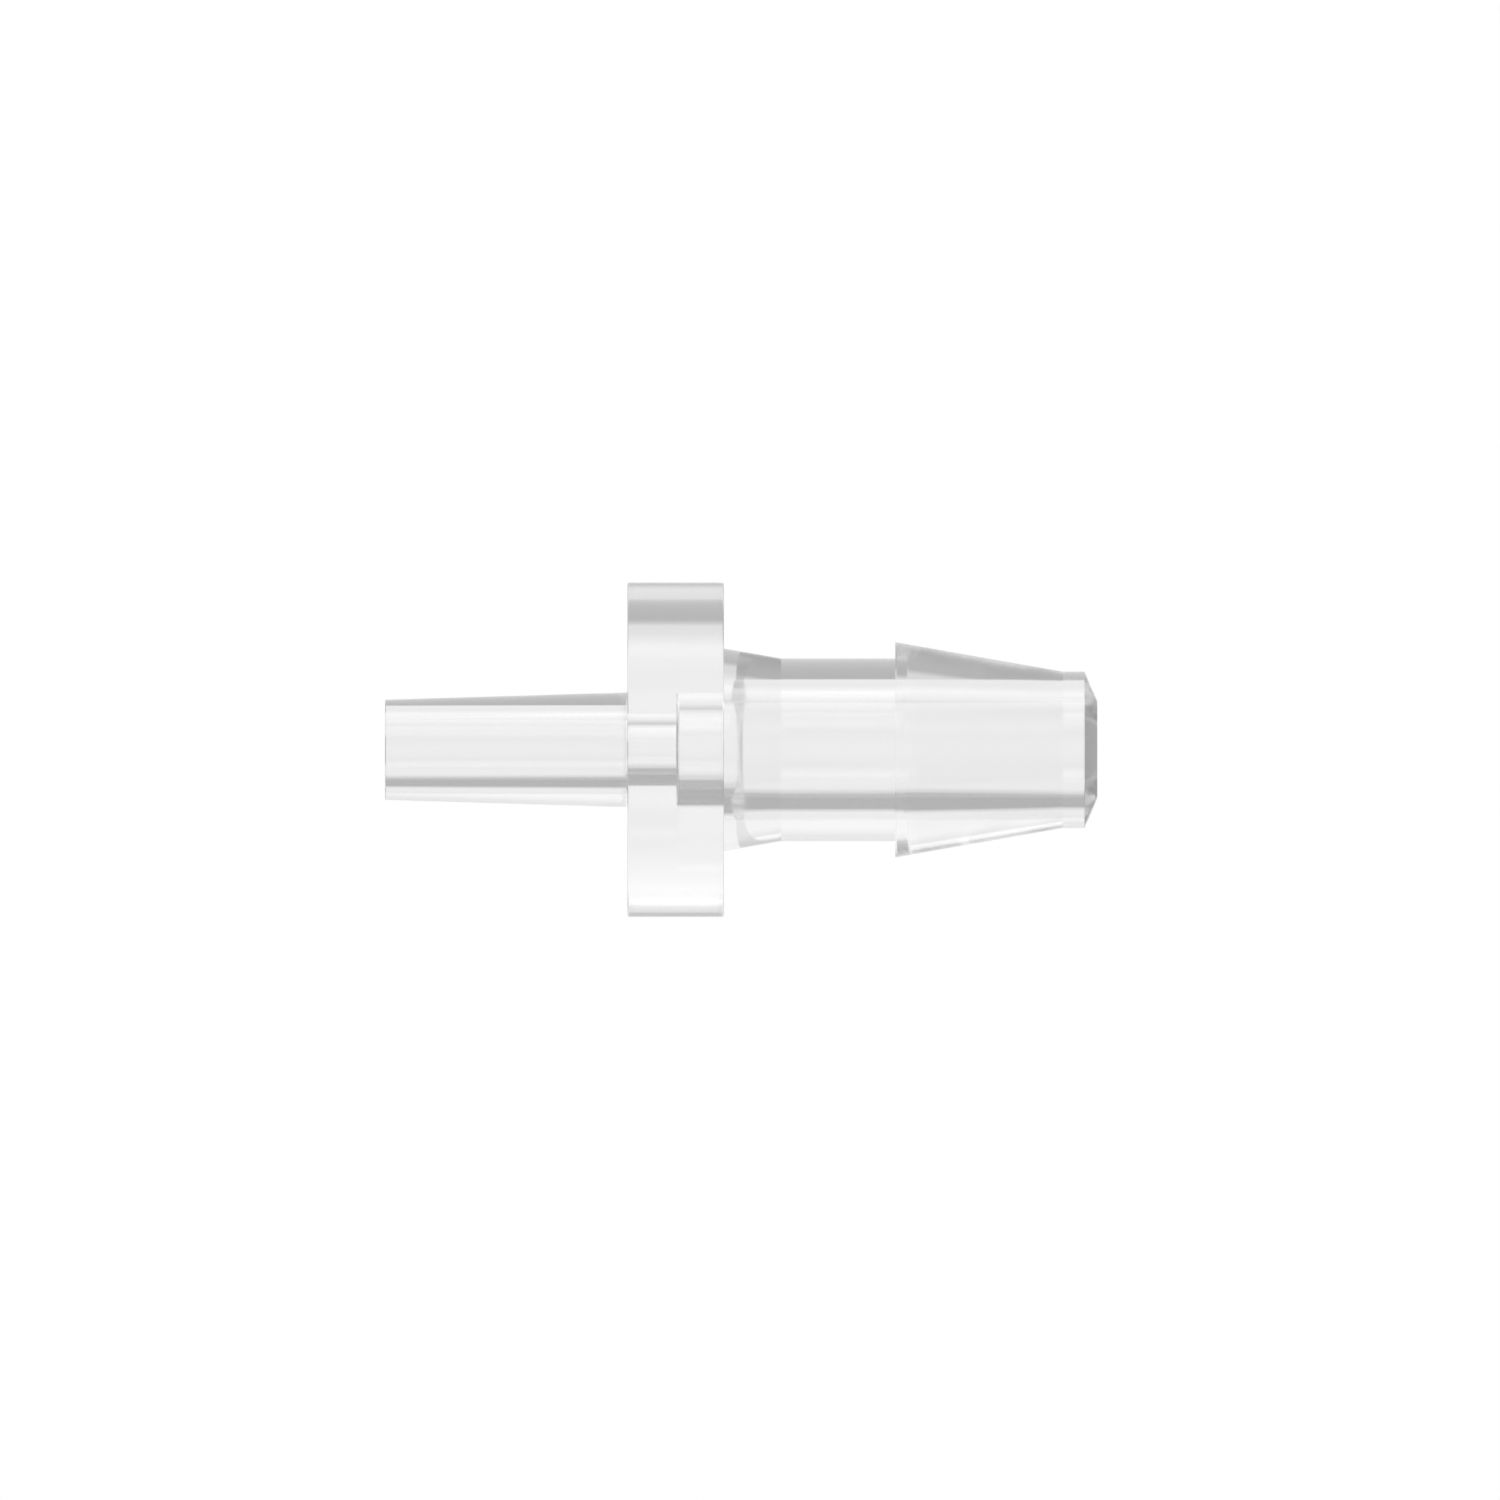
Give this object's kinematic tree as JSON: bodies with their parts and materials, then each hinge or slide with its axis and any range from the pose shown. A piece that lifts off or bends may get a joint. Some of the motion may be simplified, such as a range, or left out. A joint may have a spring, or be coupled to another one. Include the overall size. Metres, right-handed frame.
{
  "type": "male luer slip fitting",
  "caption": "Clear plastic tubing adapter: a male luer slip cone, a finger flange and a hose barb in line, with a stepped bore right through.",
  "frame": {"origin": "centre of the luer tip's flat face, at the bottom of the part", "axes": "+Z along the axis from the luer tip to the nose of the barb, X across the flange's long way, Y across its two wide sides"},
  "size_m": [0.0132, 0.0104, 0.0282],
  "materials": {
    "clear_plastic": "gloss"
  },
  "bodies": {
    "root": {"luer_fitting": "clear_plastic"}
  },
  "joints": []
}
